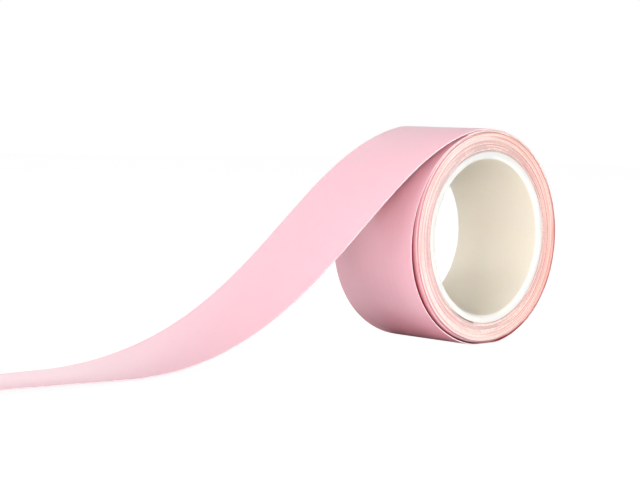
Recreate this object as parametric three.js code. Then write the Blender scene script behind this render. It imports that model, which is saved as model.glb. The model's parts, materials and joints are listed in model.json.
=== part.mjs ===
import * as THREE from 'three';

// Roll of adhesive tape on a moulded core, its free end drawn off and lying on the table.
// Millimetres, +Z up. The origin is on the table under the roll's axis, which runs along Y.
// The end face that shows its layers looks towards -Y, and the tape is drawn off towards -X.
// Angles go round the roll's axis in degrees, from +X towards +Z.

// Tape
const tapeWidth = 25.4;
const tapeThickness = 0.25;

// Core
const coreBoreRadius = 19;
const coreWall = 1.8;
const coreOverhang = 0.15;
const coreBoreChamfer = 0.45;
const coreRimChamfer = 0.2;

// Tape wound tight on the core
const woundLayers = 19;
const layerPitch = 0.2525;
const woundSeatGap = 0.05;

// Last turn, which has worked loose and sits a little further back than the layers under it
const turnClearance = 0.3;
const turnSlack = 1;
const slackFrom = 150;
const slackTo = 360;
const turnSpan = 352;
const edgeStagger = 0.6;
const restFlatDepth = 0.5;

// Peel line, where the tape leaves the roll and passes over its own inner end
const peelAngle = 101;
const seamGap = 0.55;
const peelLiftSpan = 25;
const peelGap = 0.4;

// Free end, from the peel line down to the table and along it
const leaveHandle = 35.5;
const landHandle = 49.8;
const landDistance = 80.5;
const lyingLength = 43.3;

// Facets
const ringSteps = 120;
const turnStep = 2;
const tailSteps = 44;

// The sizes that follow
const coreRadius = coreBoreRadius + coreWall;
const coreWidth = tapeWidth + 2 * coreOverhang;
const woundInnerRadius = coreRadius + woundSeatGap;
const woundRadius = woundInnerRadius + woundLayers * layerPitch;
const tightRadius = woundRadius + turnClearance + tapeThickness;
const peelLift = tapeThickness + seamGap;

const coreFinish = new THREE.MeshStandardMaterial({ color: '#f3efe6', roughness: 0.45, metalness: 0 });
const layersFinish = new THREE.MeshStandardMaterial({ color: '#f2d3c6', roughness: 0.7, metalness: 0 });
const tapeFinish = new THREE.MeshStandardMaterial({ color: '#efb3bf', roughness: 0.4, metalness: 0 });

const radians = (degrees) => THREE.MathUtils.degToRad(degrees);

// Outer radius of the loosened turn, by the degrees gone back round the roll from the peel line.
// The tape lifts a little before the peel line, and its slack hangs off the roll's lower left.
function turnRadius(travel) {
  const lift = peelLift * THREE.MathUtils.smoothstep(peelLiftSpan - travel, 0, peelLiftSpan);
  const slackShare = THREE.MathUtils.clamp((travel - slackFrom) / (slackTo - slackFrom), 0, 1);
  return tightRadius + lift + turnSlack * Math.sin(Math.PI * slackShare) ** 2;
}

// The roll's weight presses the slack turn flat on the table, which sets the height of its axis.
const travelToBottom = peelAngle + 90;
const axisHeight = turnRadius(travelToBottom) - restFlatDepth;

// A point on the tape's outer face, by the same degrees, as x and height above the table.
function turnPoint(travel) {
  const angle = radians(peelAngle - travel);
  const radius = turnRadius(travel);
  const height = axisHeight + radius * Math.sin(angle);
  return new THREE.Vector2(radius * Math.cos(angle), Math.max(height, 0));
}

// The loosened turn's outer face, from its inner end round to just short of the peel line.
// The stretch that lies on the table needs only its two ends.
function turnPath() {
  const lastTravel = THREE.MathUtils.radToDeg(peelGap / turnRadius(0));
  const steps = Math.round((turnSpan - lastTravel) / turnStep);
  const points = [];
  for (let i = 0; i <= steps; i += 1) {
    points.push(turnPoint(THREE.MathUtils.lerp(turnSpan, lastTravel, i / steps)));
  }
  const lies = (point) => point?.y === 0;
  return points.filter((point, i) => !(lies(points[i - 1]) && lies(point) && lies(points[i + 1])));
}

// The free end's upper face: one curve from the peel line to the table, then straight to the cut.
function tailPath() {
  const peel = turnPoint(0);
  const leave = new THREE.Vector2(-Math.sin(radians(peelAngle)), Math.cos(radians(peelAngle)));
  const land = new THREE.Vector2(-tightRadius - landDistance, tapeThickness);
  const drop = new THREE.CubicBezierCurve(
    peel,
    peel.clone().addScaledVector(leave, leaveHandle),
    new THREE.Vector2(land.x + landHandle, land.y),
    land,
  );
  return [...drop.getPoints(tailSteps), new THREE.Vector2(land.x - lyingLength, land.y)];
}

// The face on the other side of the tape, which lies to the left of the way it is drawn off.
function innerFace(outer) {
  return outer.map((point, i) => {
    const before = outer[Math.max(i - 1, 0)];
    const after = outer[Math.min(i + 1, outer.length - 1)];
    const along = after.clone().sub(before).normalize();
    return new THREE.Vector2(-along.y, along.x).multiplyScalar(tapeThickness).add(point);
  });
}

// A stretch of tape, by the path of its outer face.
function tapeSolid(outer) {
  const outline = new THREE.Shape([...outer, ...innerFace(outer).reverse()]);
  const solid = new THREE.ExtrudeGeometry(outline, { depth: tapeWidth, bevelEnabled: false });
  solid.rotateX(Math.PI / 2);
  return solid.translate(0, tapeWidth / 2 + edgeStagger, 0);
}

// The least distance between the outer face and the inner face of the turn that passes over it.
function leastSelfGap(outer) {
  const inner = innerFace(outer);
  const nearest = new THREE.Vector3();
  let least = Infinity;
  outer.forEach((point, i) => {
    for (let j = i + Math.round(outer.length / 2); j < inner.length - 1; j += 1) {
      const start = new THREE.Vector3(inner[j].x, inner[j].y, 0);
      const end = new THREE.Vector3(inner[j + 1].x, inner[j + 1].y, 0);
      const here = new THREE.Vector3(point.x, point.y, 0);
      new THREE.Line3(start, end).closestPointToPoint(here, true, nearest);
      least = Math.min(least, nearest.distanceTo(here));
    }
  });
  return least;
}

// Core: one moulded ring, its bore's edges broken wider than its rims'.
function makeCore() {
  const side = coreWidth / 2;
  const profile = [
    [coreBoreRadius, -side + coreBoreChamfer],
    [coreBoreRadius + coreBoreChamfer, -side],
    [coreRadius - coreRimChamfer, -side],
    [coreRadius, -side + coreRimChamfer],
    [coreRadius, side - coreRimChamfer],
    [coreRadius - coreRimChamfer, side],
    [coreBoreRadius + coreBoreChamfer, side],
    [coreBoreRadius, side - coreBoreChamfer],
  ];
  return ring('core', profile, coreFinish);
}

// Wound tape: the layers under the last turn, as one ring on the core.
function makeWoundTape() {
  const side = tapeWidth / 2;
  const profile = [
    [woundInnerRadius, -side],
    [woundRadius, -side],
    [woundRadius, side],
    [woundInnerRadius, side],
  ];
  return ring('wound_tape', profile, layersFinish);
}

// A ring about the roll's axis, by the corners of its section as radius and y.
function ring(name, profile, finish) {
  const corners = [...profile, profile[0]].map(([radius, y]) => new THREE.Vector2(radius, y));
  const mesh = new THREE.Mesh(new THREE.LatheGeometry(corners, ringSteps), finish);
  mesh.name = name;
  mesh.position.z = axisHeight;
  return mesh;
}

// Outer turn: the last, loosened layer round the roll.
function makeOuterTurn() {
  const mesh = new THREE.Mesh(tapeSolid(turnPath()), tapeFinish);
  mesh.name = 'outer_turn';
  return mesh;
}

// Free tail: the stretch that has left the roll.
function makeFreeTail() {
  const mesh = new THREE.Mesh(tapeSolid(tailPath()), tapeFinish);
  mesh.name = 'free_tail';
  return mesh;
}

const leastGap = leastSelfGap([...turnPath(), ...tailPath()]);
console.log(`Least gap of the drawn-off tape to itself: ${leastGap.toFixed(2)} mm`);

const roll = new THREE.Group();
roll.add(makeCore(), makeWoundTape(), makeOuterTurn(), makeFreeTail());

export default roll;
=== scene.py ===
"""Roll of adhesive tape on a moulded core, its free end drawn off over the table.

Metres, +Z up, as in the frame: the origin is on the table under the roll's axis, which runs
along Y. Angles go round that axis in degrees, from +X towards +Z. The near side faces -Y.
"""

import json
import math

import bmesh
import bpy
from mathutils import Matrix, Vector


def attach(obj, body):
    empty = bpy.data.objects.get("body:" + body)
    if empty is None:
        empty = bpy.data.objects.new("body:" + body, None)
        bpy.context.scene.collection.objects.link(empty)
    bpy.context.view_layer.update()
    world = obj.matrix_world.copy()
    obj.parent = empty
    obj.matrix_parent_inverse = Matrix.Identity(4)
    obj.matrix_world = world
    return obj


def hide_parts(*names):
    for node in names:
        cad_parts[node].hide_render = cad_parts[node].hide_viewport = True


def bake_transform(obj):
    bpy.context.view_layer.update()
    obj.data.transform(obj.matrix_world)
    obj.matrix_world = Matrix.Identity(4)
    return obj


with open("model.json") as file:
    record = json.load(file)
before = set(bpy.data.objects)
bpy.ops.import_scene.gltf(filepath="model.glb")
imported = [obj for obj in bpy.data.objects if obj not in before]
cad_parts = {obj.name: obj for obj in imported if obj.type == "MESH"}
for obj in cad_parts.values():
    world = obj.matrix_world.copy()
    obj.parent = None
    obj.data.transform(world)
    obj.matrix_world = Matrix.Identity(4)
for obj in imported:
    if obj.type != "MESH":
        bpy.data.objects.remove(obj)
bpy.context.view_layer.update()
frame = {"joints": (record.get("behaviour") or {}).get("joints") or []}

bl_info = {
    "name": "Adhesive Tape Roll",
    "version": (1, 0, 0),
    "blender": (4, 5, 0),
    "location": "3D View > Sidebar > Tape Roll",
    "description": "Builds a roll of tape on its core, with its free end drawn off, and its stage",
    "category": "Add Mesh",
}

MM = 0.001
JOINTS = {joint["name"]: joint for joint in frame["joints"]}
AXIS = Vector(JOINTS["roll_turn"]["pos_m"])

# Core: its edges, where its colour turns to the rims' paler painted light, and how far back it sits
CORE_STEPS = 192
NEAR_BORE_CHAMFER = 0.6 * MM
NEAR_CHAMFER_ROUND = 0.1 * MM
FAR_BORE_ROUND = 0.1 * MM
RIM_EDGE_ROUND = 0.2 * MM
NEAR_RIM_LIGHT = (-11.8 * MM, -12.8 * MM)
FAR_RIM_LIGHT = (12.8 * MM, 13.3 * MM)
CORE_SHIFT = 0.2 * MM

# Wound layers: each turn is a run of arcs, each with its own radius and centre.
# The outline of the last layer isn't quite round: each wave has its number round the roll,
# and the millimetres of its cosine and of its sine. The layers' edges wander from side to
# side: each wave has its millimetres, its radians for each turn, and where it starts. After
# the turns that lie flush, the last layers are set back.
ARCS_PER_TURN = 24
ARC_STEPS = 5
SEAT_GAP = 0.02 * MM
LAYERS_START_ANGLE = 259
LAYERS_END_ANGLE = 109
OUTLINE_WAVES = ((1, 0.36, -0.1), (3, 0, -0.074), (4, -0.09, 0))
EDGE_WANDER = ((0.024, 2.9, 0), (0.018, 5.1, 1))
FLUSH_TURNS = 15.28
FLUSH_SOFTNESS = 0.1

# The first turn lies tight on the core and steps over its own start. That step fades out
# over the next turns. The last layers are lifted a little at the top of the roll.
STEP_FROM = 0.9
STEP_FADES = 10
TOP_LIFT = 0.1 * MM
TOP_LIFT_SPAN = (60, 135)
TOP_LIFT_TURNS = (15.8, 16)

# Painted shade on the wound layers: how deep their faces are painted darker in the gap round
# them; how far back their edges carry a painted rosy shade for their recess; and the painted
# shade in the gaps between layers: the turns it runs from and to, and how dark. The painted
# darkening stops low on the right. The layers are out of round there, and stand out through
# the loose turn once the roll has made half a turn.
GAP_SHADE_SPAN = (12 * MM, 11 * MM)
GAP_SHADE_STOPS_X = (2 * MM, 8 * MM)
GAP_SHADE_STOPS_Z = (26 * MM, 21 * MM)
RECESS_SHADE_Y = (-12.45 * MM, -11.95 * MM)
RECESS_SHADE_TINT = (0.7, 0.58, 0.7, 1)
LAYER_GAP_SHADES = ((0.02, 0.98, 0.35), (16.35, 16.49, 0.8), (17.27, 17.38, 0.7))
LAYER_GAP_SHADE_SOFTNESS = 0.03

# Colours of the wound layers' edges: the palest, the deepest as shares of the middle one,
# and a darker, warmer tint towards the right-hand side: partly painted shade, partly their tone
PALEST_EDGES = (0.97, 0.88, 0.84)
DEEPEST_SHARES = (0.84, 0.6, 0.58)
RIGHT_SHADE_TINT = (0.98, 0.88, 0.81, 1)
RIGHT_SHADE_X = (-20 * MM, 24 * MM)

# Where the painted shade on the loose turn's coated face ends, along the strip
COAT_SHADE_ENDS = (148 * MM, 160 * MM)

# Painted shade on the roll's underside, darker by the height above the table. The free end,
# further to the left, has none.
UNDERSIDE_Z = (11 * MM, 0)
UNDERSIDE_X = (-34 * MM, -27 * MM)
UNDERSIDE_SHADE_TINT = (0.86, 0.64, 0.67, 1)

# Light that soaks into the film: how much of it, how far by colour, and the scale
FILM_SOAK = (0.25, (1, 0.35, 0.4), 0.5 * MM)

# How far back the loose turn and the last layers sit: its middle value, and its swing
# between the roll's right side, where it is least, and its left side
SET_BACK = 0.26 * MM
SET_BACK_SWING = 0.2 * MM

# How much further back they have slipped: the last layers low on the left, by the angle
# round the axis, and the loose turn all down its left side, by the degrees gone back, and
# how far it is drawn in there for each millimetre of its slip
LAYER_SLIP = 0.4 * MM
LAYER_SLIP_SPAN = (190, 310)
TURN_SLIP = 0.5 * MM
TURN_SLIP_START = (170, 230)
TURN_SLIP_END = (285, 340)
SLIP_PULL = 1.14

# Loose turn, by the degrees gone back round the roll from the peel line: it bellies out on
# the right, hangs slack on the left, and settles on the layers towards its inner end
TURN_SPAN = 352
TURN_STEP = 2
TURN_RADIUS = 26.32 * MM
SLACK_FROM = 195
SLACK_TO = 320
BELLY = 0.48 * MM
BELLY_START = (35, 135)
BELLY_END = (120, 200)
SETTLE = 0.6 * MM
SETTLE_FROM = 255
PEEL_LIFT_SPAN = 25
FLAT_DEPTH_SOFTNESS = 0.1 * MM

# Peel line: the near edge leaves the roll a little before the far edge
NEAR_PEEL_ANGLE = 100.98
FAR_PEEL_ANGLE = 103.09
FAR_PEEL_LIFT = 0.5 * MM

# Free end: each edge is one curve down to the table, then straight on to the cut
NEAR_HANDLES = (34.68 * MM, 50.8 * MM)
FAR_HANDLES = (38.08 * MM, 55.25 * MM)
NEAR_LANDING = Vector((-107.98, 1.17)) * MM
FAR_LANDING = Vector((-111.43, 0.25)) * MM
NEAR_LANDING_SLOPE = -0.027
CUT_X = -149.9 * MM
TAIL_STEP = 1.5 * MM
FINE_STEPS = 4000

# How the meshes are drawn: how close vertices are merged, or count as being at a place; how
# little an edge along the strip goes across it; the angles above which an edge counts as
# one of the strip's long edges, or stays sharp; and how much the long edges are rounded
SAME_VERTEX = 0.001 * MM
SAME_PLACE = 0.01 * MM
ALONG_STRIP = 2 * MM
LONG_EDGE_ANGLE = 60
SHARP_ANGLE = 35
EDGE_ROUND = 0.015 * MM

# Stage
TABLE_SIZE = 6
CAMERA_PLACE = Vector((-288.9, -253.37, 48.55)) * MM
CAMERA_TURN = (86.313, -1.3028, -43.9129)
CAMERA_LENS = 86.99

# Each lamp's name, place, the point it looks at, size, watts and spread in degrees
LAMPS = (
    ("top_lamp", (0, 0, 1), (0, 0, 0.02), 0.8, 3.3, 180),
    ("left_lamp", (-0.9, -0.1, 0.2), (0, 0, 0.02), 0.6, 5.1, 180),
    ("low_left_lamp", (-0.65, -0.62, 0.15), (0, 0, 0.02), 0.4, 5.0, 180),
    ("low_front_lamp", (-0.1, -0.98, 0.1), (0, 0, 0.02), 0.4, 1.0, 180),
    ("right_lamp", (0.62, -0.6, 0.3), (0, 0, 0.02), 0.6, 0.6, 180),
    ("table_lamp", (0.01, -0.16, 0.3), (0.01, -0.1, 0), 0.06, 0.3, 24),
    ("back_left_lamp", (-0.5, 0.8, 0.3), (0, 0, 0.02), 0.5, 3.0, 180),
    ("back_lamp", (0.33, 0.87, 0.2), (0, 0, 0.02), 0.5, 0.9, 180),
)


def from_srgb(red, green, blue):
    """The linear colour of three 8-bit values."""
    values = [value / 255 for value in (red, green, blue)]
    return tuple(v / 12.92 if v <= 0.04045 else ((v + 0.055) / 1.055) ** 2.4 for v in values)


def length_property(name, description, default, low, high):
    """A size, with its default and its limits given in millimetres."""
    return bpy.props.FloatProperty(
        name=name,
        description=description,
        default=default * MM,
        min=low * MM,
        max=high * MM,
        precision=5,
        unit="LENGTH",
    )


def colour_property(name, description, *srgb):
    """A colour, with its default given as three 8-bit values."""
    return bpy.props.FloatVectorProperty(
        name=name,
        description=description,
        default=from_srgb(*srgb),
        min=0,
        max=1,
        size=3,
        subtype="COLOR",
    )


class TapeRollSizes(bpy.types.PropertyGroup):
    tape_width: length_property("Tape width", "Width of the strip, edge to edge", 25.4, 5, 100)
    tape_thickness: length_property(
        "Tape thickness", "Thickness of the strip with its adhesive", 0.25, 0.05, 1
    )
    layer_pitch: length_property(
        "Layer pitch", "Distance from one wound layer to the next", 0.2789, 0.05, 1
    )
    layers: bpy.props.IntProperty(
        name="Wound layers",
        description="Layers wound tight on the core",
        default=18,
        min=1,
        max=60,
    )
    bore: length_property("Bore", "Diameter of the hole through the core", 38, 10, 100)
    core_wall: length_property("Core wall", "Thickness of the core's wall", 1.8, 0.8, 6)
    core_width: length_property("Core width", "Width of the core along its axis", 26.4, 5, 100)
    slack: length_property(
        "Slack", "How far the loose turn hangs off the roll on its left side", 0.95, 0, 1.5
    )


class TapeRollColours(bpy.types.PropertyGroup):
    tape_face: colour_property(
        "Tape face", "Colour of the loose turn's and the free end's outer face", 230, 182, 193
    )
    # Painted shade: a deeper copy of the tape face's colour, for the wound layers' faces
    wound_face_in_shade: colour_property(
        "Wound face in shade", "Colour of the wound layers' faces, by their two edges", 216, 152, 162
    )
    # Painted shade: the colour of the wound layers' faces deep in the gap
    gap_shade: colour_property(
        "Gap depth", "Colour of the wound layers' faces, deep in the gap", 158, 44, 54
    )
    cut_edge: colour_property("Cut edge", "Colour of a single strip's cut edge", 252, 226, 230)
    # Painted shade: the colour of the gaps between the wound layers
    seam: colour_property(
        "Seam", "Colour of the dark seams between the wound layers", 172, 118, 102
    )
    layer_edges: colour_property(
        "Layer edges", "Colour of the wound layers' cut edges", 249, 216, 208
    )
    inner_layers: colour_property(
        "Inner layers", "Greyer colour that the innermost layers' edges tend to", 200, 172, 172
    )
    adhesive: colour_property(
        "Adhesive", "Colour of the coated inner face, where it has left the roll", 192, 112, 122
    )
    # Painted shade: the colour of the coated face over the gap round the roll
    shaded_adhesive: colour_property(
        "Shaded adhesive", "Colour of the coated face over the gap round the roll", 164, 60, 68
    )
    core_plastic: colour_property("Core plastic", "Colour of the core's wall", 221, 213, 198)
    # Painted light: the core's paler colour at its two rims
    core_rim_light: colour_property("Core rim", "Colour of the core at its two rims", 227, 226, 222)
    table: colour_property("Table", "Colour of the table, as the object sees it", 238, 238, 238)


def deselect_all():
    """Back to object mode with nothing selected."""
    if bpy.context.mode != "OBJECT":
        bpy.ops.object.mode_set(mode="OBJECT")
    bpy.ops.object.select_all(action="DESELECT")


def edit(piece):
    """Opens the piece's mesh for editing, with vertices as what is selected."""
    deselect_all()
    piece.select_set(True)
    bpy.context.view_layer.objects.active = piece
    bpy.context.tool_settings.mesh_select_mode = (True, False, False)
    bpy.ops.object.mode_set(mode="EDIT")


def pick_vertices(piece, wanted):
    """Selects the vertices of the opened mesh that pass the test."""
    mesh = bmesh.from_edit_mesh(piece.data)
    for vertex in mesh.verts:
        vertex.select_set(wanted(vertex))
    mesh.select_flush_mode()
    bmesh.update_edit_mesh(piece.data)


def pick_edges(piece, wanted):
    """Selects the edges of the opened mesh that pass the test."""
    bpy.context.tool_settings.mesh_select_mode = (False, True, False)
    mesh = bmesh.from_edit_mesh(piece.data)
    mesh.normal_update()
    chosen = [edge for edge in mesh.edges if wanted(edge)]
    for element in (*mesh.verts, *mesh.edges, *mesh.faces):
        element.select_set(False)
    for edge in chosen:
        edge.select_set(True)
    bmesh.update_edit_mesh(piece.data)


def add_plate(name, centre, size_x, size_y):
    """A flat plate across the roll's radius, with its place in its mesh, opened for editing."""
    deselect_all()
    bpy.ops.mesh.primitive_plane_add(size=1, location=centre)
    plate = bpy.context.object
    plate.name = name
    plate.data.name = name
    plate.scale = (size_x, size_y, 1)
    bpy.ops.object.transform_apply(location=True, rotation=True, scale=True)
    edit(plate)
    return plate


def add_edge(name, near, far):
    """One edge across the tape, from its near to its far end, opened for editing."""
    middle = (near + far) / 2
    edge = add_plate(name, middle, 1 * MM, far.y - near.y)
    pick_vertices(edge, lambda vertex: vertex.co.x > middle.x)
    bpy.ops.mesh.delete(type="VERT")
    pick_vertices(edge, lambda vertex: vertex.co.y < middle.y)
    bpy.ops.transform.translate(value=near - picked_place(edge))
    pick_vertices(edge, lambda vertex: vertex.co.y > middle.y)
    bpy.ops.transform.translate(value=far - picked_place(edge))
    bpy.ops.mesh.select_all(action="SELECT")
    return edge


def picked_place(piece):
    """Where the one selected vertex of the opened mesh is."""
    mesh = bmesh.from_edit_mesh(piece.data)
    return next(vertex.co.copy() for vertex in mesh.verts if vertex.select)


def at_places(places):
    """A test that passes the vertices at the places given."""
    return lambda vertex: any((vertex.co - place).length < SAME_PLACE for place in places)


def draw_strip(name, rows):
    """A strip drawn by extruding one edge from row to row, each row the near and the far end."""
    strip = add_edge(name, *rows[0])
    for (near, far), (next_near, next_far) in zip(rows, rows[1:]):
        step = next_near - near
        bpy.ops.mesh.extrude_region_move(TRANSFORM_OT_translate={"value": step})
        pick_vertices(strip, at_places([far + step]))
        bpy.ops.transform.translate(value=next_far - far - step)
        pick_vertices(strip, at_places([next_near, next_far]))
    return strip


def map_strip(strip, start):
    """Gives a drawn strip a UV map in metres: along the strip from its start, and across it."""
    vertices = strip.data.vertices
    neighbours = {vertex.index: [] for vertex in vertices}
    for edge in strip.data.edges:
        first, second = edge.vertices
        if abs(vertices[first].co.y - vertices[second].co.y) < ALONG_STRIP:
            neighbours[first].append(second)
            neighbours[second].append(first)
    travelled = {}
    for corner in start:
        current = min(neighbours, key=lambda number: (vertices[number].co - corner).length)
        travelled[current] = 0.0
        onward = neighbours[current]
        while onward:
            step = (vertices[onward[0]].co - vertices[current].co).length
            travelled[onward[0]] = travelled[current] + step
            current = onward[0]
            onward = [number for number in neighbours[current] if number not in travelled]
    layer = strip.data.uv_layers.new(name="Strip")
    for loop in strip.data.loops:
        number = loop.vertex_index
        layer.data[loop.index].uv = (travelled[number], vertices[number].co.y)


def face_outwards(piece, outward):
    """Turns the normals of an open strip so that its first face looks the way given."""
    if piece.data.polygons[0].normal.dot(outward) < 0:
        edit(piece)
        bpy.ops.mesh.select_all(action="SELECT")
        bpy.ops.mesh.flip_normals()
        bpy.ops.object.mode_set(mode="OBJECT")


def thicken(piece, thickness):
    """Gives the drawn outer face its thickness inwards.

    The cut edges take the strip's second material, and the inner face its third.
    """
    bpy.ops.object.modifier_add(type="SOLIDIFY")
    wall = piece.modifiers[-1]
    wall.thickness = thickness
    wall.offset = -1
    wall.use_even_offset = True
    wall.material_offset = 2
    wall.material_offset_rim = 1
    bpy.ops.object.modifier_apply(modifier=wall.name)


def break_long_edges(piece):
    """Rounds the four long edges of the strip a little, and leaves its two ends square."""
    edit(piece)

    def is_long_edge(edge):
        run = edge.verts[1].co - edge.verts[0].co
        if len(edge.link_faces) != 2 or abs(run.y) >= run.length / 2:
            return False
        return edge.calc_face_angle() > math.radians(LONG_EDGE_ANGLE)

    pick_edges(piece, is_long_edge)
    bpy.ops.mesh.bevel(offset=EDGE_ROUND, segments=2, affect="EDGES", profile=0.5)
    bpy.ops.object.mode_set(mode="OBJECT")


def smooth(piece):
    """Smooth shading that keeps the sharp corners."""
    deselect_all()
    piece.select_set(True)
    bpy.context.view_layer.objects.active = piece
    bpy.ops.object.shade_smooth_by_angle(angle=math.radians(SHARP_ANGLE))


def on_roll(angle, radius, y):
    """A point by its angle round the roll's axis, its radius and its y."""
    turn = math.radians(angle)
    return Vector((radius * math.cos(turn), y, AXIS.z + radius * math.sin(turn)))


def ease(value, low, high):
    """0 below low, 1 above high, and smooth between them."""
    share = min(max((value - low) / (high - low), 0), 1)
    return share * share * (3 - 2 * share)


def swell(value, low, high):
    """A smooth rise and fall between low and high, 1 halfway and 0 outside them."""
    share = min(max((value - low) / (high - low), 0), 1)
    return math.sin(math.pi * share) ** 2


def loose_radius(travel, slack):
    """Outer radius of the loose turn, apart from its lift at the peel line."""
    hang = slack * swell(travel, SLACK_FROM, SLACK_TO)
    belly = BELLY * ease(travel, *BELLY_START) * (1 - ease(travel, *BELLY_END))
    pull = SLIP_PULL * turn_slip(travel) * math.cos(math.radians(NEAR_PEEL_ANGLE - travel))
    settled = SETTLE * ease(travel, SETTLE_FROM, TURN_SPAN)
    return TURN_RADIUS + hang + belly + pull - settled


def set_back(angle):
    """How far back the loose turn and the last layers sit, by the angle round the axis."""
    return SET_BACK - SET_BACK_SWING * math.cos(math.radians(angle))


def turn_slip(travel):
    """How much further back the loose turn has slipped, by the degrees gone back."""
    return TURN_SLIP * ease(travel, *TURN_SLIP_START) * (1 - ease(travel, *TURN_SLIP_END))


def wound_turns(sizes):
    """How many turns the wound strip makes from its start to its end."""
    return sizes.layers - (LAYERS_START_ANGLE - LAYERS_END_ANGLE) / 360


def wound_length(turns, sizes):
    """How long the wound strip is after so many turns."""
    return sum(layer_reach(i, sizes) for i in range(round(turns * 360))) * math.radians(1)


def layer_reach(turned, sizes):
    """How far from the axis the wound strip lies, by the degrees it has turned."""
    start = sizes.bore / 2 + sizes.core_wall + SEAT_GAP + sizes.tape_thickness
    turns = turned / 360
    turn = math.radians(LAYERS_START_ANGLE + turned)
    waves = sum(a * math.cos(k * turn) + b * math.sin(k * turn) for k, a, b in OUTLINE_WAVES) * MM
    share = turns % 1
    stepped = (share - ease(share, STEP_FROM, 1)) * max(0, 1 - turns / STEP_FADES)
    lifted = TOP_LIFT * ease(turns, *TOP_LIFT_TURNS)
    lifted *= swell((LAYERS_START_ANGLE + turned) % 360, *TOP_LIFT_SPAN)
    wound = sizes.layer_pitch * (turns - stepped)
    return start + wound + waves * turns / wound_turns(sizes) + lifted


def layer_bend(turned, sizes):
    """The radius of the arc that starts there, from how the reach changes along the arc."""
    step = 360 / ARCS_PER_TURN

    def slope(place):
        rise = layer_reach(place + 0.5, sizes) - layer_reach(place - 0.5, sizes)
        return rise / math.radians(1)

    change = (slope(turned + step) - slope(turned)) / math.radians(step)
    return layer_reach(turned + step / 2, sizes) + change


def far_peel_lift(travel):
    """How much higher than the near edge the far edge lies, towards the peel line."""
    return FAR_PEEL_LIFT * ease(PEEL_LIFT_SPAN - travel, 0, PEEL_LIFT_SPAN)


def laid_on_table(point):
    """The point, held up softly by the table."""
    height = (point.z + math.hypot(point.z, FLAT_DEPTH_SOFTNESS)) / 2
    return Vector((point.x, point.y, height))


def turn_row(travel, sizes):
    """Near and far end of the loose turn's outer face, by the degrees gone back."""
    angle = NEAR_PEEL_ANGLE - travel
    near_y = set_back(angle) + turn_slip(travel) - sizes.tape_width / 2
    far_y = near_y + sizes.tape_width
    radius = loose_radius(travel, sizes.slack)
    skew = (FAR_PEEL_ANGLE - NEAR_PEEL_ANGLE) * (1 - travel / TURN_SPAN)
    near = on_roll(angle, radius, near_y)
    far = on_roll(angle + skew, radius + far_peel_lift(travel), far_y)
    return laid_on_table(near), laid_on_table(far)


def free_edge_point(peel, peel_angle, handles, landing, slope, share):
    """A point on one edge of the free end, by its share of the curve, and past 1 straight on."""
    turn = math.radians(peel_angle)
    leave = Vector((-math.sin(turn), math.cos(turn)))
    arrive = Vector((1, slope)).normalized()
    if share > 1:
        return landing + (CUT_X - landing.x) * (share - 1) * Vector((1, slope))
    corners = (peel, peel + handles[0] * leave, landing + handles[1] * arrive, landing)
    left = 1 - share
    weights = (left**3, 3 * left * left * share, 3 * left * share * share, share**3)
    return sum((weight * corner for weight, corner in zip(weights, corners)), Vector((0, 0)))


def even_walk(point_at, length=None):
    """Evenly spaced points on the line that point_at draws for shares 0 to 2, and its length.

    The points cover the length given, or else the whole line.
    """
    fine = [point_at(2 * i / FINE_STEPS) for i in range(FINE_STEPS + 1)]
    travelled = [0.0]
    for before, after in zip(fine, fine[1:]):
        travelled.append(travelled[-1] + (after - before).length)
    covered = length or travelled[-1]
    count = round(covered / TAIL_STEP)
    spacing = covered / count
    points = []
    cursor = 0
    for i in range(count + 1):
        target = min(i * spacing, travelled[-1])
        while cursor < len(fine) - 2 and travelled[cursor + 1] < target:
            cursor += 1
        piece = travelled[cursor + 1] - travelled[cursor]
        points.append(fine[cursor].lerp(fine[cursor + 1], (target - travelled[cursor]) / piece))
    return points, travelled[-1]


def new_material(name, colour, roughness):
    """A new material with its tree and its shader."""
    material = bpy.data.materials.new(name)
    material.use_nodes = True
    shader = material.node_tree.nodes["Principled BSDF"]
    shader.location = (200, 0)
    shader.inputs["Base Color"].default_value = (*colour, 1)
    shader.inputs["Roughness"].default_value = roughness
    return material, material.node_tree, shader


def put(tree, socket, value):
    """Links the socket to a node's output, or gives it a plain value."""
    if isinstance(value, bpy.types.NodeSocket):
        tree.links.new(value, socket)
    else:
        socket.default_value = value


def add_node(tree, kind, place, **settings):
    """A node of the kind, at its place in the tree, with its settings and its inputs."""
    node = tree.nodes.new(kind)
    node.location = place
    for name, value in settings.items():
        socket = node.inputs.get(name.replace("_", " "))
        if socket is not None:
            put(tree, socket, value)
        else:
            setattr(node, name, value)
    return node


def add_math(tree, place, operation, *values):
    """The output of a math node with its values or links."""
    node = add_node(tree, "ShaderNodeMath", place, operation=operation)
    for socket, value in zip(node.inputs, values):
        put(tree, socket, value)
    return node.outputs[0]


def add_range(tree, place, value, source, target, smooth=False):
    """The value carried from one range to another, held at its ends."""
    kind = "SMOOTHSTEP" if smooth else "LINEAR"
    node = add_node(tree, "ShaderNodeMapRange", place, interpolation_type=kind, Value=value)
    for name, number in zip(("From Min", "From Max", "To Min", "To Max"), (*source, *target)):
        node.inputs[name].default_value = number
    return node.outputs["Result"]


def add_mix(tree, place, factor, first, second, blend="MIX"):
    """Two colours mixed by a factor."""
    node = add_node(tree, "ShaderNodeMix", place, data_type="RGBA", blend_type=blend)
    colours = [socket for socket in node.inputs if socket.type == "RGBA"]
    put(tree, node.inputs["Factor"], factor)
    put(tree, colours[0], first)
    put(tree, colours[1], second)
    return next(socket for socket in node.outputs if socket.type == "RGBA")


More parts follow.
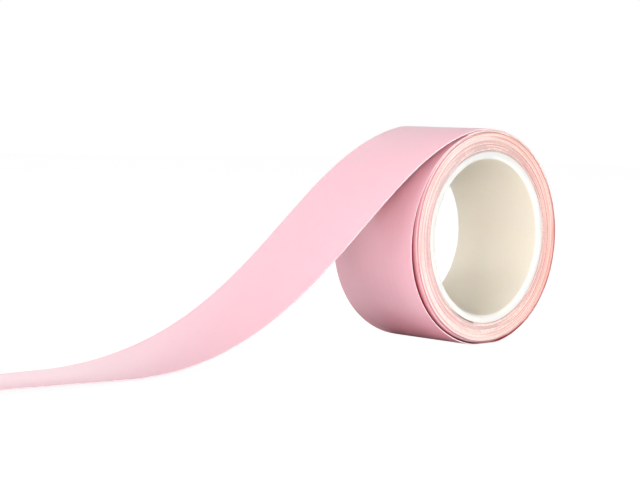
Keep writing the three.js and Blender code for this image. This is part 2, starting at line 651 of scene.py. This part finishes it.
def add_ramp(tree, place, factor, stops):
    """A colour ramp with its stops as place and colour."""
    node = add_node(tree, "ShaderNodeValToRGB", place, Fac=factor)
    elements = node.color_ramp.elements
    while len(elements) < len(stops):
        elements.new(0.5)
    for element, (position, colour) in zip(elements, stops):
        element.position = position
        element.color = (*colour, 1)
    return node.outputs["Color"]


def add_noise(tree, place, vector, scale, detail):
    """The value of a noise pattern at the point that the vector gives."""
    node = add_node(tree, "ShaderNodeTexNoise", place, Vector=vector, Scale=scale, Detail=detail)
    return node.outputs["Fac"]


def add_line_noise(tree, place, along, scale, detail):
    """The value of a noise pattern along a line."""
    node = add_node(tree, "ShaderNodeTexNoise", place, noise_dimensions="1D", W=along)
    put(tree, node.inputs["Scale"], scale)
    put(tree, node.inputs["Detail"], detail)
    return node.outputs["Fac"]


def add_sides(tree, place, vector):
    """The three parts of a vector: X, Y and Z."""
    return add_node(tree, "ShaderNodeSeparateXYZ", place, Vector=vector).outputs


def object_place(tree, place):
    """The place on the object, in its own space."""
    return add_node(tree, "ShaderNodeTexCoord", place).outputs["Object"]


def strip_place(tree, place):
    """The place on the strip: along it and across it."""
    return add_node(tree, "ShaderNodeUVMap", place, uv_map="Strip").outputs["UV"]


def tinted(colour, share):
    """The colour, made darker or lighter by a share of it."""
    return tuple(min(value * share, 1) for value in colour)


def add_bumps(tree, shader, layers):
    """Bump nodes one after the other, each with its height, strength and depth."""
    normal = None
    for i, (height, strength, depth) in enumerate(layers):
        bump = add_node(tree, "ShaderNodeBump", (-400 + 200 * i, -500), Strength=strength)
        bump.inputs["Distance"].default_value = depth
        tree.links.new(height, bump.inputs["Height"])
        if normal is not None:
            tree.links.new(normal, bump.inputs["Normal"])
        normal = bump.outputs["Normal"]
    tree.links.new(normal, shader.inputs["Normal"])


def soak(shader, weight, radius, scale):
    """Lets light soak into the surface a little."""
    shader.inputs["Subsurface Weight"].default_value = weight
    shader.inputs["Subsurface Radius"].default_value = radius
    shader.inputs["Subsurface Scale"].default_value = scale


class TAPEROLL_OT_core(bpy.types.Operator):
    """Add the moulded core: its section as a plate, rounded and spun round the roll's axis"""

    bl_idname = "tape_roll.core"
    bl_label = "Core"

    def execute(self, context):
        sizes = context.scene.tape_roll_sizes
        inner = sizes.bore / 2
        middle = inner + sizes.core_wall / 2
        centre = AXIS + Vector((middle, CORE_SHIFT, 0))
        core = add_plate("core_ring", centre, sizes.core_wall, sizes.core_width)
        pick_vertices(core, lambda vertex: vertex.co.x < middle and vertex.co.y < 0)
        bpy.ops.mesh.bevel(offset=NEAR_BORE_CHAMFER, segments=1, affect="VERTICES")
        bpy.ops.mesh.bevel(offset=NEAR_CHAMFER_ROUND, segments=3, affect="VERTICES")
        far_end = CORE_SHIFT + sizes.core_width / 2 - SAME_PLACE
        pick_vertices(core, lambda vertex: vertex.co.x < middle and vertex.co.y > far_end)
        bpy.ops.mesh.bevel(offset=FAR_BORE_ROUND, segments=4, affect="VERTICES")
        pick_vertices(core, lambda vertex: vertex.co.x > middle + sizes.core_wall / 4)
        bpy.ops.mesh.bevel(offset=RIM_EDGE_ROUND, segments=3, affect="VERTICES")
        bpy.ops.mesh.select_all(action="SELECT")
        bpy.ops.mesh.delete(type="ONLY_FACE")
        bpy.ops.mesh.select_all(action="SELECT")
        bpy.ops.mesh.spin(steps=CORE_STEPS, angle=math.tau, center=AXIS, axis=(0, 1, 0))
        bpy.ops.mesh.select_all(action="SELECT")
        bpy.ops.mesh.remove_doubles(threshold=SAME_VERTEX)
        bpy.ops.mesh.normals_make_consistent(inside=False)
        bpy.ops.object.mode_set(mode="OBJECT")
        smooth(core)
        core.data.materials.append(core_material(context.scene.tape_roll_colours))
        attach(core, "roll")
        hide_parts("core")
        return {"FINISHED"}


class TAPEROLL_OT_wound_layers(bpy.types.Operator):
    """Add the layers wound on the core: one edge spun outwards, turn after turn, and thickened"""

    bl_idname = "tape_roll.wound_layers"
    bl_label = "Wound Layers"

    def execute(self, context):
        sizes = context.scene.tape_roll_sizes
        bend = layer_reach(0, sizes)
        half = sizes.tape_width / 2
        near = on_roll(LAYERS_START_ANGLE, bend, -half)
        far = on_roll(LAYERS_START_ANGLE, bend, half)
        layers = add_edge("tape_layers", near, far)
        arc = 360 / ARCS_PER_TURN
        centre = AXIS.copy()
        shift = 0.0
        for i in range(round(wound_turns(sizes) * ARCS_PER_TURN)):
            turn = math.radians(LAYERS_START_ANGLE + i * arc)
            new_bend = layer_bend(i * arc, sizes)
            centre -= (new_bend - bend) * Vector((math.cos(turn), 0, math.sin(turn)))
            bend = new_bend
            bpy.ops.mesh.spin(
                steps=ARC_STEPS, angle=math.radians(arc), center=centre, axis=(0, 1, 0)
            )
            new_shift = self.layer_shift((i + 1) / ARCS_PER_TURN)
            bpy.ops.transform.translate(value=(0, new_shift - shift, 0))
            shift = new_shift
        bpy.ops.mesh.select_all(action="SELECT")
        bpy.ops.mesh.remove_doubles(threshold=SAME_VERTEX)
        bpy.ops.object.mode_set(mode="OBJECT")
        map_strip(layers, (near, far))
        face_outwards(layers, near - AXIS)
        colours = context.scene.tape_roll_colours
        layers.data.materials.append(face_material(colours, wound=True))
        layers.data.materials.append(layers_material(colours, sizes))
        layers.data.materials.append(adhesive_material(colours, covered=True))
        thicken(layers, sizes.tape_thickness)
        break_long_edges(layers)
        smooth(layers)
        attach(layers, "roll")
        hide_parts("wound_tape")
        return {"FINISHED"}

    @staticmethod
    def layer_shift(turns):
        """How far back the strip lies after so many turns: a slight wander, then the set-back."""
        wander = sum(size * math.sin(rate * turns + start) for size, rate, start in EDGE_WANDER)
        late = ease(turns, FLUSH_TURNS - FLUSH_SOFTNESS, FLUSH_TURNS + FLUSH_SOFTNESS)
        angle = (LAYERS_START_ANGLE + 360 * turns) % 360
        slip = LAYER_SLIP * swell(angle, *LAYER_SLIP_SPAN)
        return wander * MM + late * (set_back(angle) + slip)


class TAPEROLL_OT_loose_turn(bpy.types.Operator):
    """Add the last turn, which has worked loose: one edge extruded round the roll"""

    bl_idname = "tape_roll.loose_turn"
    bl_label = "Loose Turn"

    def execute(self, context):
        sizes = context.scene.tape_roll_sizes
        count = round(TURN_SPAN / TURN_STEP)
        travels = [TURN_SPAN * (1 - i / count) for i in range(count + 1)]
        rows = [turn_row(travel, sizes) for travel in travels]
        colours = context.scene.tape_roll_colours
        turn = finish_strip("tape_turn", rows, sizes, colours, covered=True)
        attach(turn, "loose_turn")
        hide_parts("outer_turn")
        return {"FINISHED"}


class TAPEROLL_OT_free_end(bpy.types.Operator):
    """Add the free end: one edge extruded from the peel line down to the table and along it"""

    bl_idname = "tape_roll.free_end"
    bl_label = "Free End"

    def execute(self, context):
        sizes = context.scene.tape_roll_sizes
        near_peel, far_peel = turn_row(0, sizes)

        def near_at(share):
            return free_edge_point(
                near_peel.xz, NEAR_PEEL_ANGLE, NEAR_HANDLES, NEAR_LANDING, NEAR_LANDING_SLOPE, share
            )

        def far_at(share):
            return free_edge_point(far_peel.xz, FAR_PEEL_ANGLE, FAR_HANDLES, FAR_LANDING, 0, share)

        near_line, length = even_walk(near_at)
        far_line, far_length = even_walk(far_at)
        shorter = min(length, far_length)
        near_line, _ = even_walk(near_at, shorter)
        far_line, _ = even_walk(far_at, shorter)
        rows = [
            (Vector((a.x, near_peel.y, a.y)), Vector((b.x, far_peel.y, b.y)))
            for a, b in zip(near_line, far_line)
        ]
        tail = finish_strip("tape_tail", rows, sizes, context.scene.tape_roll_colours)
        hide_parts("free_tail")
        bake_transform(tail)
        return {"FINISHED"}


def finish_strip(name, rows, sizes, colours, covered=False):
    """Draws a strip along its rows, and gives it its map, thickness, edges and finishes."""
    strip = draw_strip(name, rows)
    bpy.ops.object.mode_set(mode="OBJECT")
    map_strip(strip, rows[0])
    face_outwards(strip, outward_at(rows))
    strip.data.materials.append(face_material(colours))
    strip.data.materials.append(edge_material(colours))
    strip.data.materials.append(adhesive_material(colours, covered))
    thicken(strip, sizes.tape_thickness)
    break_long_edges(strip)
    smooth(strip)
    return strip


def outward_at(rows):
    """The way a strip's outer face looks at its first row: left of its run, seen from far."""
    run = rows[1][0] - rows[0][0]
    return Vector((run.z, 0, -run.x))


def face_material(colours, wound=False):
    """Satin film: faint streaks along the strip, a fine grain, and light that soaks in.

    The wound layers' faces take a deeper copy of the colour as painted shade, and painted shade
    darkens them inwards from their two edges.
    """
    name = "Shaded Wound Face" if wound else "Tape Face"
    found = bpy.data.materials.get(name)
    if found is not None:
        return found
    colour = colours.wound_face_in_shade if wound else colours.tape_face
    material, tree, shader = new_material(name, colour, roughness=0.4)
    shader.inputs["Specular IOR Level"].default_value = 0.05 if wound else 0.4
    strip = strip_place(tree, (-1500, 100))
    place = object_place(tree, (-1500, -300))
    drawn = add_node(tree, "ShaderNodeMapping", (-1300, 100), Vector=strip)
    drawn.inputs["Scale"].default_value = (30, 1200, 1)
    streaks = add_noise(tree, (-1100, 100), drawn.outputs[0], scale=1, detail=4)
    grain = add_noise(tree, (-1100, -200), place, scale=2600, detail=3)
    waves = add_noise(tree, (-1100, -450), place, scale=120, detail=2)
    stops = ((0.3, tinted(colour, 0.965)), (0.7, tinted(colour, 1.035)))
    grained = add_ramp(tree, (-800, -150), grain, stops)
    streaked = add_ramp(tree, (-800, 150), streaks, stops)
    mixed = add_mix(tree, (-500, 0), 0.5, grained, streaked)
    mixed = add_mix(tree, (-250, 50), 0.25, mixed, (*colour, 1))
    sides = add_sides(tree, (-1300, 600), place)
    # Painted shade: the roll's underside darker and redder near the table, not on the free end
    low = add_range(tree, (-500, 700), sides["Z"], UNDERSIDE_Z, (0, 1), smooth=True)
    under = add_range(tree, (-500, 500), sides["X"], UNDERSIDE_X, (0, 1))
    low = add_math(tree, (-250, 600), "MULTIPLY", low, under)
    mixed = add_mix(tree, (-120, 300), low, mixed, UNDERSIDE_SHADE_TINT, blend="MULTIPLY")
    if wound:
        # Painted shade: the wound faces darker deep in the gap round the roll, but not low on the
        # right
        across = add_math(tree, (-900, 350), "ABSOLUTE", add_sides(tree, (-1300, 350), strip)["Y"])
        inside = add_range(tree, (-500, 300), across, GAP_SHADE_SPAN, (0, 1), smooth=True)
        right = add_range(tree, (-900, 900), sides["X"], GAP_SHADE_STOPS_X, (0, 1))
        below = add_range(tree, (-700, 900), sides["Z"], GAP_SHADE_STOPS_Z, (0, 1))
        closed = add_math(tree, (-500, 900), "MULTIPLY", right, below)
        gap = add_range(tree, (-300, 900), closed, (0, 1), (1, 0), smooth=True)
        inside = add_math(tree, (-250, 250), "MULTIPLY", inside, gap)
        mixed = add_mix(tree, (0, 100), inside, mixed, (*colours.gap_shade, 1))
    tree.links.new(mixed, shader.inputs["Base Color"])
    gloss = add_range(tree, (-500, -250), streaks, (0.3, 0.7), (0.36, 0.45))
    tree.links.new(gloss, shader.inputs["Roughness"])
    bumps = ((grain, 0.12, 0.02 * MM), (streaks, 0.1, 0.03 * MM), (waves, 0.08, 0.3 * MM))
    add_bumps(tree, shader, bumps)
    soak(shader, *FILM_SOAK)
    return material


def adhesive_material(colours, covered=False):
    """The strip's inner face, coated with adhesive: smooth in patches, tacky between them.

    Where the strip covers the roll, the coat is painted deeper, as shade, up to just before the
    peel line.
    """
    name = "Shaded Adhesive" if covered else "Adhesive"
    found = bpy.data.materials.get(name)
    if found is not None:
        return found
    material, tree, shader = new_material(name, colours.adhesive, roughness=0.5)
    shader.inputs["Specular IOR Level"].default_value = 0.2
    patches = add_noise(tree, (-900, 100), object_place(tree, (-1200, 0)), scale=400, detail=4)
    stops = ((0.35, tinted(colours.adhesive, 0.93)), (0.65, colours.adhesive))
    shade = add_ramp(tree, (-600, 100), patches, stops)
    if covered:
        # Painted shade: the coat darker over the gap round the roll, up to just before the peel
        # line
        along = add_sides(tree, (-900, 400), strip_place(tree, (-1200, 400)))["X"]
        inside = add_range(tree, (-600, 400), along, COAT_SHADE_ENDS, (1, 0), smooth=True)
        shade = add_mix(tree, (-300, 200), inside, shade, (*colours.shaded_adhesive, 1))
    tree.links.new(shade, shader.inputs["Base Color"])
    gloss = add_range(tree, (-600, -150), patches, (0.35, 0.65), (0.38, 0.55))
    tree.links.new(gloss, shader.inputs["Roughness"])
    add_bumps(tree, shader, ((patches, 0.15, 0.03 * MM),))
    soak(shader, *FILM_SOAK)
    return material


def edge_material(colours):
    """The cut edge of a single strip: pale, with the fine marks of the knife."""
    found = bpy.data.materials.get("Cut Edge")
    if found is not None:
        return found
    material, tree, shader = new_material("Cut Edge", colours.cut_edge, roughness=0.55)
    marks = add_noise(tree, (-900, 0), strip_place(tree, (-1200, 0)), scale=900, detail=3)
    stops = ((0.35, tinted(colours.cut_edge, 0.92)), (0.6, colours.cut_edge))
    shade = add_ramp(tree, (-600, 0), marks, stops)
    tree.links.new(shade, shader.inputs["Base Color"])
    add_bumps(tree, shader, ((marks, 0.25, 0.02 * MM),))
    soak(shader, 0.3, (1, 0.5, 0.5), 0.5 * MM)
    return material


def layers_material(colours, sizes):
    """The wound layers' cut edges: a shade for each layer, painted shade in the gaps between them,
    painted glints, knife marks.
    """
    material, tree, shader = new_material("Layer Edges", colours.layer_edges, roughness=0.55)
    shader.inputs["Specular IOR Level"].default_value = 0.8
    along = add_sides(tree, (-1900, 300), strip_place(tree, (-2100, 300)))["X"]
    place = object_place(tree, (-2100, -200))
    centred = add_node(tree, "ShaderNodeMapping", (-1900, -200), Vector=place)
    centred.inputs["Location"].default_value = (0, 0, -AXIS.z)
    around = add_node(tree, "ShaderNodeVectorMath", (-1700, -200), operation="NORMALIZE")
    tree.links.new(centred.outputs[0], around.inputs[0])
    drift = add_line_noise(tree, (-1450, 600), along, scale=22, detail=3)
    bands = add_line_noise(tree, (-1450, 350), along, scale=5, detail=1)
    lines = add_line_noise(tree, (-1450, 100), along, scale=60, detail=1)
    marks = add_noise(tree, (-1450, -100), around.outputs[0], scale=60, detail=4)
    grain = add_noise(tree, (-1450, -350), place, scale=2600, detail=3)
    spots = add_noise(tree, (-1450, -600), place, scale=1500, detail=1)
    deep = tuple(value * share for value, share in zip(colours.layer_edges, DEEPEST_SHARES))
    mean = add_mix(tree, (-1200, 450), 0.45, drift, bands)
    stops = ((0.4, deep), (0.47, colours.layer_edges), (0.53, PALEST_EDGES))
    shade = add_ramp(tree, (-950, 450), mean, stops)
    inner = add_range(tree, (-1200, 250), along, (0.1, 1.5), (0.75, 0.12), smooth=True)
    lined = add_range(tree, (-950, 200), lines, (0.46, 0.56), (0, 1), smooth=True)
    lined = add_math(tree, (-800, 200), "MULTIPLY", lined, inner)
    shade = add_mix(tree, (-650, 350), lined, shade, (*colours.inner_layers, 1))
    scored = add_range(tree, (-1200, -100), marks, (0.4, 0.6), (1, 0))
    reach = add_range(tree, (-1200, 100), along, (0.1, 1.6), (0.4, 0.12))
    scored = add_math(tree, (-950, 0), "MULTIPLY", scored, reach)
    shade = add_mix(tree, (-500, 300), scored, shade, (*colours.inner_layers, 1))
    fine = add_range(tree, (-950, -250), grain, (0.35, 0.65), (0.12, 0))
    shade = add_mix(tree, (-300, 300), fine, shade, (*deep, 1))
    # Painted glints: pale specks where light would catch the layers' edges
    painted_glint = add_range(tree, (-950, -600), spots, (0.68, 0.76), (0, 0.7))
    shade = add_mix(tree, (-100, 300), painted_glint, shade, (1, 0.97, 0.95, 1))
    sides = add_sides(tree, (-300, 550), place)
    # Partly painted shade: the edges darker and warmer towards the right-hand side
    side = add_range(tree, (-100, 550), sides["X"], RIGHT_SHADE_X, (0, 1))
    shade = add_mix(tree, (100, 300), side, shade, RIGHT_SHADE_TINT, blend="MULTIPLY")
    # Painted shade: the set-back edges rosier and darker the deeper they sit, on the near side only
    back = add_range(tree, (-100, 800), sides["Y"], RECESS_SHADE_Y, (0, 1), smooth=True)
    near = add_math(tree, (-100, 950), "LESS_THAN", sides["Y"], 0)
    back = add_math(tree, (100, 850), "MULTIPLY", back, near)
    shade = add_mix(tree, (300, 300), back, shade, RECESS_SHADE_TINT, blend="MULTIPLY")
    # Painted shade in the gaps between layers: along the strip from turn to turn, with its depth
    for i, (start, end, depth) in enumerate(LAYER_GAP_SHADES):
        spans = [wound_length(turns, sizes) for turns in (start, start + LAYER_GAP_SHADE_SOFTNESS)]
        starts = add_range(tree, (300, 600 + 400 * i), along, spans, (0, depth), smooth=True)
        spans = [wound_length(turns, sizes) for turns in (end - LAYER_GAP_SHADE_SOFTNESS, end)]
        ends = add_range(tree, (300, 800 + 400 * i), along, spans, (1, 0), smooth=True)
        seam = add_math(tree, (500, 600 + 400 * i), "MULTIPLY", starts, ends)
        shade = add_mix(tree, (700, 300 + 400 * i), seam, shade, (*colours.seam, 1))
    tree.links.new(shade, shader.inputs["Base Color"])
    gloss = add_range(tree, (-700, -250), grain, (0.3, 0.7), (0.45, 0.65))
    tree.links.new(gloss, shader.inputs["Roughness"])
    add_bumps(tree, shader, ((grain, 0.3, 0.02 * MM), (marks, 0.2, 0.04 * MM)))
    soak(shader, 0.1, (1, 0.5, 0.5), 0.2 * MM)
    return material


def core_material(colours):
    """Ivory moulded plastic, with painted light: paler towards its two rims, where light enters it
    from the ends.
    """
    material, tree, shader = new_material("Core Plastic", colours.core_plastic, roughness=0.45)
    shader.inputs["Specular IOR Level"].default_value = 0.35
    place = object_place(tree, (-1500, 0))
    across = add_sides(tree, (-1300, 150), place)["Y"]
    # Painted light: the wall paler towards the two rims
    near = add_range(tree, (-1100, 300), across, NEAR_RIM_LIGHT, (0, 1), smooth=True)
    far = add_range(tree, (-1100, 100), across, FAR_RIM_LIGHT, (0, 1), smooth=True)
    rim = add_math(tree, (-900, 200), "MAXIMUM", near, far)
    grain = add_noise(tree, (-1100, -100), place, scale=3000, detail=3)
    cloud = add_noise(tree, (-1100, -350), place, scale=90, detail=2)
    stops = ((0.35, tinted(colours.core_plastic, 0.97)), (0.65, colours.core_plastic))
    wall = add_ramp(tree, (-800, -100), grain, stops)
    shade = add_mix(tree, (-450, 50), rim, wall, (*colours.core_rim_light, 1))
    tree.links.new(shade, shader.inputs["Base Color"])
    gloss = add_range(tree, (-800, -350), cloud, (0.35, 0.65), (0.42, 0.55))
    tree.links.new(gloss, shader.inputs["Roughness"])
    add_bumps(tree, shader, ((grain, 0.15, 0.02 * MM), (cloud, 0.08, 0.2 * MM)))
    soak(shader, 0.3, (1, 0.85, 0.6), 0.8 * MM)
    return material


def table_material(colours):
    """The table: white as the camera and mirrors see it, with the object's faint shadow."""
    material = bpy.data.materials.new("Table")
    material.use_nodes = True
    tree = material.node_tree
    tree.nodes.clear()
    out = add_node(tree, "ShaderNodeOutputMaterial", (600, 0))
    rays = add_node(tree, "ShaderNodeLightPath", (-600, 300))
    plain = add_node(tree, "ShaderNodeBsdfDiffuse", (-200, 0), Color=(*colours.table, 1))
    faint = add_node(tree, "ShaderNodeBsdfDiffuse", (-200, -150), Color=(0.2, 0.2, 0.2, 1))
    open_sky = add_node(tree, "ShaderNodeAmbientOcclusion", (-800, -300), Distance=70 * MM)
    open_sky.samples = 8
    level = add_range(tree, (-600, -300), open_sky.outputs["AO"], (0.35, 1), (0, 0.85))
    seen = add_math(tree, (-600, -500), "MULTIPLY", rays.outputs["Is Camera Ray"], 0.96)
    level = add_math(tree, (-400, -300), "MAXIMUM", level, seen)
    glow = add_node(tree, "ShaderNodeEmission", (-200, -300), Color=(1, 1, 1, 1), Strength=level)
    white = add_node(tree, "ShaderNodeAddShader", (0, -200))
    tree.links.new(faint.outputs[0], white.inputs[0])
    tree.links.new(glow.outputs[0], white.inputs[1])
    tree.links.new(part_rays(tree, rays, plain, white), out.inputs["Surface"])
    return material


def part_rays(tree, rays, lighting, seen):
    """One shader for the rays that light the object, and another for those that see the stage.

    Camera, glossy and transmission rays count as seeing it.
    """
    outputs = rays.outputs
    looks = (outputs["Is Camera Ray"], outputs["Is Glossy Ray"])
    looks = add_math(tree, (-350, 350), "MAXIMUM", *looks)
    looks = add_math(tree, (-150, 350), "MAXIMUM", looks, outputs["Is Transmission Ray"])
    mix = add_node(tree, "ShaderNodeMixShader", (300, 0))
    for socket, value in zip(mix.inputs, (looks, lighting.outputs[0], seen.outputs[0])):
        tree.links.new(value, socket)
    return mix.outputs[0]


class TAPEROLL_OT_stage(bpy.types.Operator):
    """Set the stage: the table, the white surroundings, the lamps and the camera"""

    bl_idname = "tape_roll.stage"
    bl_label = "Stage"

    def execute(self, context):
        scene = context.scene
        self.set_table(scene)
        self.set_world(scene)
        self.set_lamps()
        self.set_camera(scene)
        scene.view_settings.view_transform = "Standard"
        return {"FINISHED"}

    @staticmethod
    def set_table(scene):
        deselect_all()
        bpy.ops.mesh.primitive_plane_add(size=TABLE_SIZE, location=(0, 0, 0))
        table = bpy.context.object
        table.name = "table"
        table.data.materials.append(table_material(scene.tape_roll_colours))

    @staticmethod
    def set_world(scene):
        world = bpy.data.worlds.new("Surroundings")
        scene.world = world
        world.use_nodes = True
        tree = world.node_tree
        tree.nodes.clear()
        out = add_node(tree, "ShaderNodeOutputWorld", (600, 0))
        rays = add_node(tree, "ShaderNodeLightPath", (-600, 300))
        soft = add_node(tree, "ShaderNodeBackground", (0, 0), Color=(1, 1, 1, 1), Strength=0.15)
        white = add_node(tree, "ShaderNodeBackground", (0, -150), Color=(1, 1, 1, 1), Strength=1.0)
        tree.links.new(part_rays(tree, rays, soft, white), out.inputs["Surface"])

    @staticmethod
    def set_lamps():
        for name, place, aim, size, power, spread in LAMPS:
            deselect_all()
            way = (Vector(aim) - Vector(place)).to_track_quat("-Z", "Y").to_euler()
            bpy.ops.object.light_add(type="AREA", radius=1, location=place, rotation=way)
            lamp = bpy.context.object
            lamp.name = name
            lamp.data.shape = "SQUARE"
            lamp.data.size = size
            lamp.data.energy = power
            lamp.data.spread = math.radians(spread)

    @staticmethod
    def set_camera(scene):
        deselect_all()
        turn = [math.radians(angle) for angle in CAMERA_TURN]
        bpy.ops.object.camera_add(location=CAMERA_PLACE, rotation=turn)
        camera = bpy.context.object
        camera.name = "camera"
        camera.data.sensor_width = 36
        camera.data.lens = CAMERA_LENS
        camera.data.clip_start = 0.01
        camera.data.clip_end = 20
        scene.camera = camera


class TAPEROLL_PT_panel(bpy.types.Panel):
    """Buttons and sizes of the tape roll"""

    bl_idname = "TAPEROLL_PT_panel"
    bl_label = "Tape Roll"
    bl_space_type = "VIEW_3D"
    bl_region_type = "UI"
    bl_category = "Tape Roll"

    def draw(self, context):
        layout = self.layout
        for group in (context.scene.tape_roll_sizes, context.scene.tape_roll_colours):
            for name in group.__annotations__:
                layout.prop(group, name)
        for operator in OPERATORS:
            layout.operator(operator.bl_idname)


OPERATORS = (
    TAPEROLL_OT_core,
    TAPEROLL_OT_wound_layers,
    TAPEROLL_OT_loose_turn,
    TAPEROLL_OT_free_end,
    TAPEROLL_OT_stage,
)
CLASSES = (TapeRollSizes, TapeRollColours, *OPERATORS, TAPEROLL_PT_panel)


def register():
    for item in CLASSES:
        bpy.utils.register_class(item)
    bpy.types.Scene.tape_roll_sizes = bpy.props.PointerProperty(type=TapeRollSizes)
    bpy.types.Scene.tape_roll_colours = bpy.props.PointerProperty(type=TapeRollColours)


def unregister():
    del bpy.types.Scene.tape_roll_colours
    del bpy.types.Scene.tape_roll_sizes
    for item in reversed(CLASSES):
        bpy.utils.unregister_class(item)


def main():
    register()
    bpy.ops.tape_roll.core()
    bpy.ops.tape_roll.wound_layers()
    bpy.ops.tape_roll.loose_turn()
    bpy.ops.tape_roll.free_end()
    bpy.ops.tape_roll.stage()


if __name__ == "__main__":
    main()
